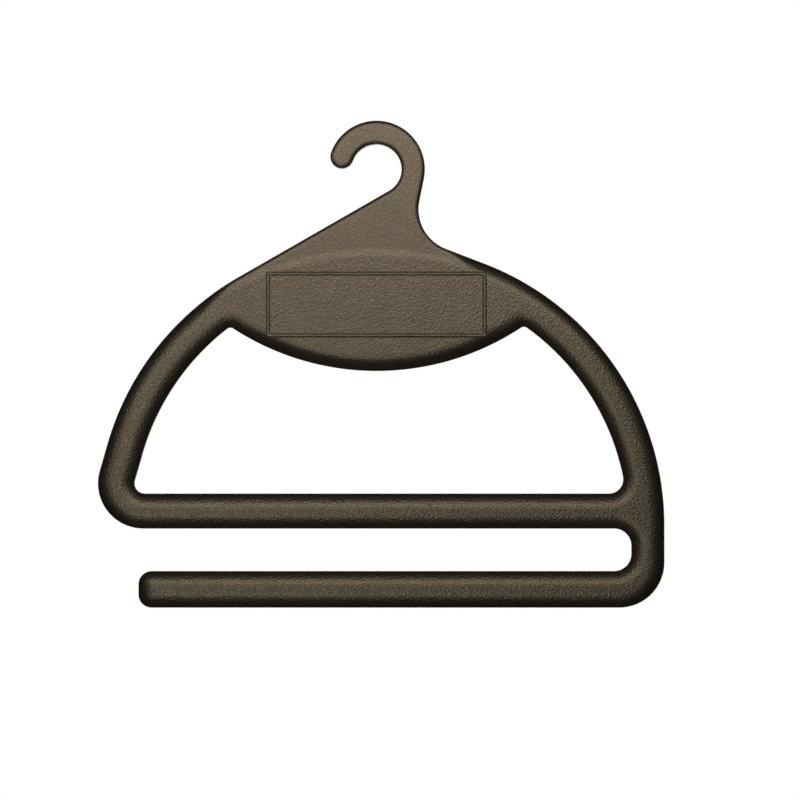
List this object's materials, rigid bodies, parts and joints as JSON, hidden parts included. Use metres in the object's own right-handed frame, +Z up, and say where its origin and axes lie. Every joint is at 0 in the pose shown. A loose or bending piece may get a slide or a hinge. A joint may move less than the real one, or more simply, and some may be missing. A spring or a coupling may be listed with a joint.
{
  "type": "accessory hanger",
  "caption": "Flat moulded plastic hanger for scarves, belts and trousers: open hook, D-shaped frame with an arched body, closed upper bar and an open-ended lower bar.",
  "frame": {"origin": "top of the hook's inner arc, where the hook sits on a rail, on the hanger's middle plane", "axes": "+X to the right seen from the front, where the bars join; +Y towards the back; +Z up, the front face looks along -Y"},
  "size_m": [0.2895, 0.0125, 0.2487],
  "materials": {
    "bronze_plastic": "satin dark bronze plastic with a fine leather grain"
  },
  "bodies": {
    "root": {"front_shell": "bronze_plastic", "rear_shell": "bronze_plastic", "name_plate": "bronze_plastic"}
  },
  "joints": []
}
